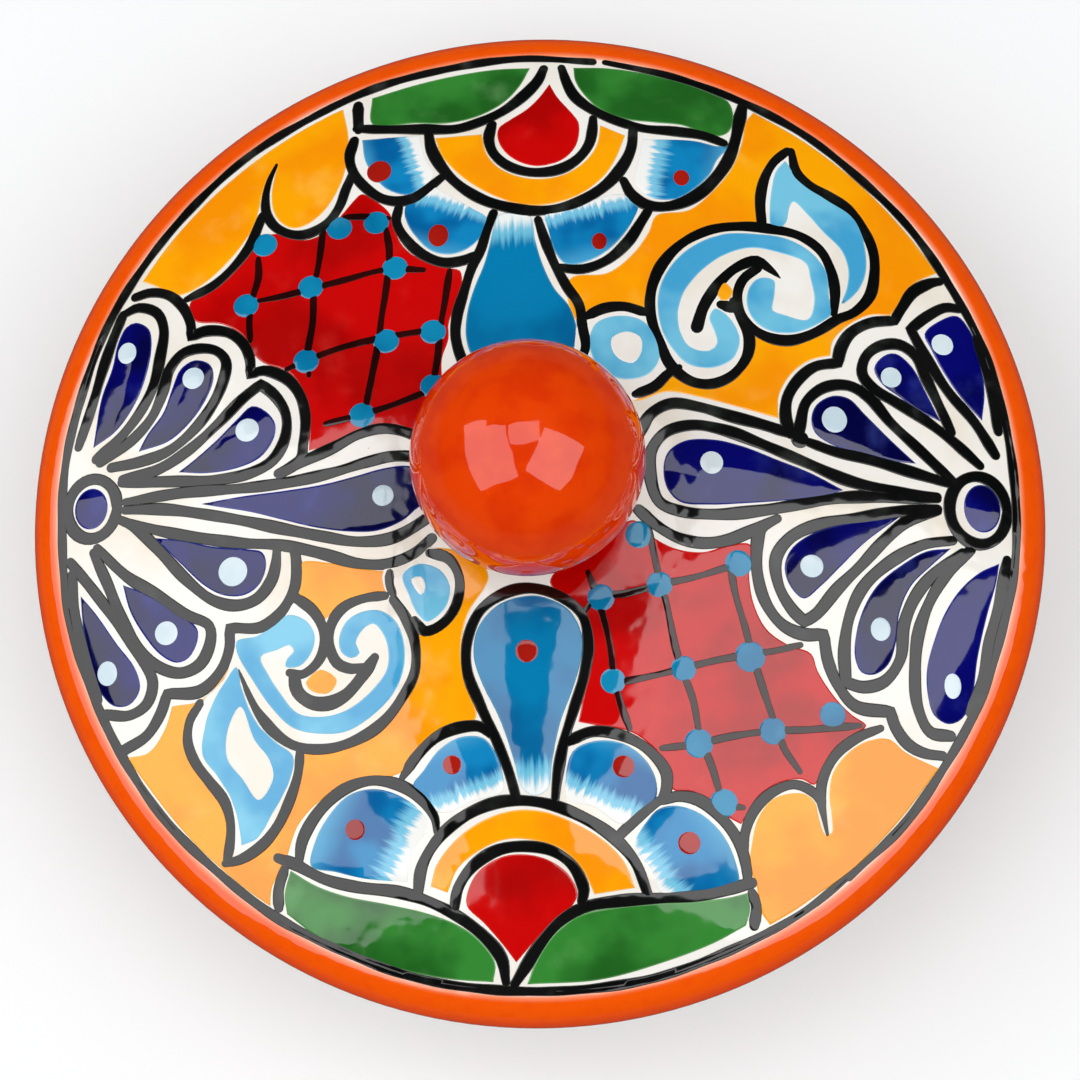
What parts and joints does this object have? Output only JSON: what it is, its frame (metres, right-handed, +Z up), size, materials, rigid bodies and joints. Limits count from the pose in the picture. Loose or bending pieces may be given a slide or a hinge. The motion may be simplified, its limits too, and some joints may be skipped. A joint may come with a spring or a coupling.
{
  "type": "tortilla warmer",
  "caption": "Round glazed earthenware tortilla warmer: a shallow dish on a foot ring, and a domed painted lid with a ball knob that lifts straight off.",
  "frame": {"origin": "middle of the plane that the foot ring stands on", "axes": "+Z up along the axis that every piece is turned about; +X to the right and +Y away from a person who looks at the front of the painted lid"},
  "size_m": [0.25, 0.25, 0.1434],
  "materials": {
    "white_glaze": "glossy warm white tin glaze over fired clay",
    "orange_glaze": "glossy orange glaze, slightly streaked",
    "bare_clay": "unglazed fired clay, slightly rough",
    "black_glaze": "glossy near-black brushed outline",
    "red_glaze": "glossy red brushed field",
    "yellow_glaze": "glossy warm yellow brushed field",
    "green_glaze": "glossy leaf green brushed field",
    "blue_glaze": "glossy sky, teal and turquoise brushed fields",
    "cobalt_glaze": "glossy dark cobalt brushed field"
  },
  "bodies": {
    "dish": {"dish_bowl": "white_glaze", "dish_foot_ring": "bare_clay", "dish_rim": "orange_glaze"},
    "lid": {"lid_dome": "white_glaze", "lid_rim": "orange_glaze", "lid_collar": "white_glaze", "knob_neck": "orange_glaze", "knob_ball": "orange_glaze"}
  },
  "joints": [
    {"name": "lid_lift", "type": "slide", "parent": "dish", "child": "lid", "axis": [0, 0, 1], "range_m": [0, 0.15]}
  ]
}
